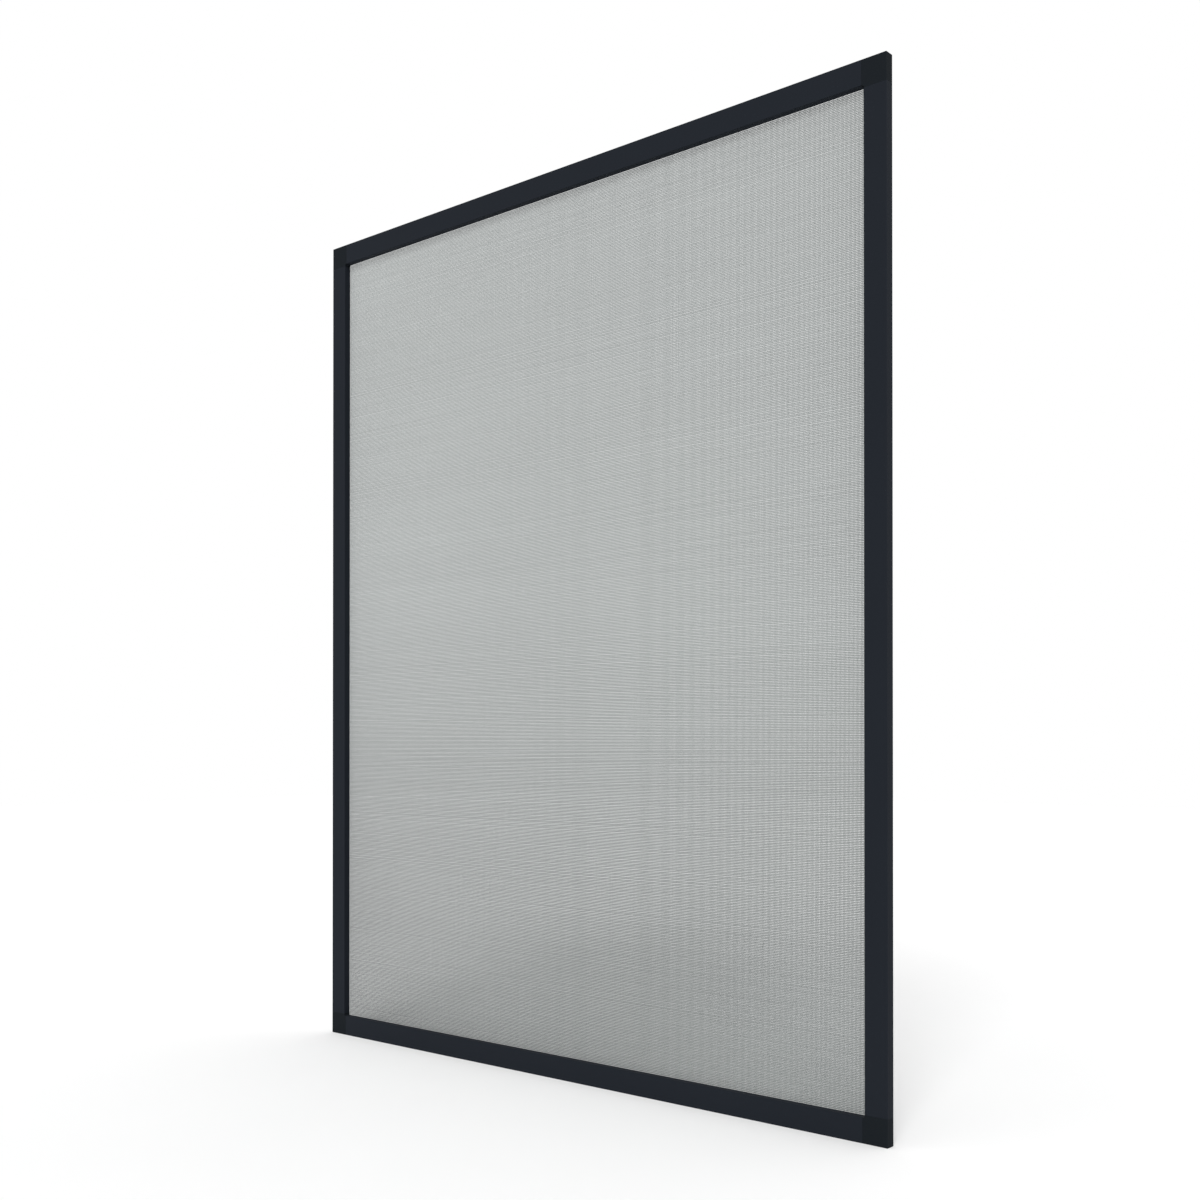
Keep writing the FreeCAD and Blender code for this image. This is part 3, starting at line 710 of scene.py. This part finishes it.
def recess_arm(across, along):
    """One arm of the cross recess, through the axis: 1 within its half width and reach, and down
    to 0 over the width of its sloping walls and ends."""
    walls = np.clip((RECESS_HALF_WIDTH - np.abs(across)) / RECESS_WALL, 0, 1)
    ends = np.clip((RECESS_REACH - np.abs(along)) / RECESS_END, 0, 1)
    return walls * ends


def pan_screw(shank_length):
    """A screw about the Y axis with its head's underside at 0, on a grid of angle a and station.
    Shank: core c = min(R, r0 + s (y - tip)) and radius r = c + T (c / R) tri(y / p - a / 2 pi).
    Head: rim, quarter round and a crowned face, h = C (1 - (r / R)^2), less D in the recess."""
    angle = np.arange(SCREW_SIDES) * 2 * math.pi / SCREW_SIDES
    y = np.linspace(-shank_length, 0, SHANK_STATIONS)[:, None]
    core = np.minimum(CORE_RADIUS, POINT_RADIUS + POINT_SLOPE * (y + shank_length))
    turn = (y / THREAD_PITCH - angle[None, :] / (2 * math.pi)) % 1
    ridge = np.clip(1 - THREAD_SHARPNESS * np.abs(turn - 0.5), 0, 1)
    shank_radius = core + ridge * THREAD_HEIGHT * core / CORE_RADIUS
    shank = np.stack([shank_radius * np.sin(angle), np.broadcast_to(y, shank_radius.shape),
                      shank_radius * np.cos(angle)], axis=2)
    bend = np.linspace(0, math.pi / 2, ROUND_STATIONS)
    face = np.linspace(FACE_RADIUS, FACE_CENTRE, FACE_STATIONS + 1)[1:]
    crown = HEAD_CROWN * (1 - (face / FACE_RADIUS) ** 2)
    radius = np.concatenate([[HEAD_RADIUS], FACE_RADIUS + HEAD_ROUND * np.cos(bend), face])
    rise = np.concatenate([[0], HEAD_RIM + HEAD_ROUND * np.sin(bend),
                           HEAD_RIM + HEAD_ROUND + crown])
    x = radius[:, None] * np.sin(angle)
    z = radius[:, None] * np.cos(angle)
    hollow = np.maximum(recess_arm(x, z), recess_arm(z, x))
    head = np.stack([x, rise[:, None] - RECESS_DEPTH * hollow, z], axis=2)
    return closed_tube(np.concatenate([shank, head]))


def turned(points, angle, place):
    """Points turned about the Y axis and moved to their place."""
    x, z = points[:, 0], points[:, 2]
    return np.stack([x * math.cos(angle) + z * math.sin(angle), points[:, 1],
                     z * math.cos(angle) - x * math.sin(angle)], axis=1) + place


low, high, middle = node_box("hook_screws")
underside = high[1] - HEAD_HEIGHT
points, quads = pan_screw(underside - low[1])
screw_parts = []
for x in (low[0] + HEAD_RADIUS, high[0] - HEAD_RADIUS):
    for z in (low[2] + HEAD_RADIUS, high[2] - HEAD_RADIUS):
        angle = rng.uniform(0, math.pi)
        screw_parts.append((turned(points, angle, (x, underside, z)), quads))
screws = build_mesh("pan_head_screws", screw_parts)
plated_steel = brushed_material(
    "plated_steel", colour=(0.60, 0.60, 0.57), fineness=(900.0, 900.0, 900.0), roughness=0.25)
screws.data.materials.append(plated_steel)
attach(screws, "root")
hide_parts("hook_screws")

low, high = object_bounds()
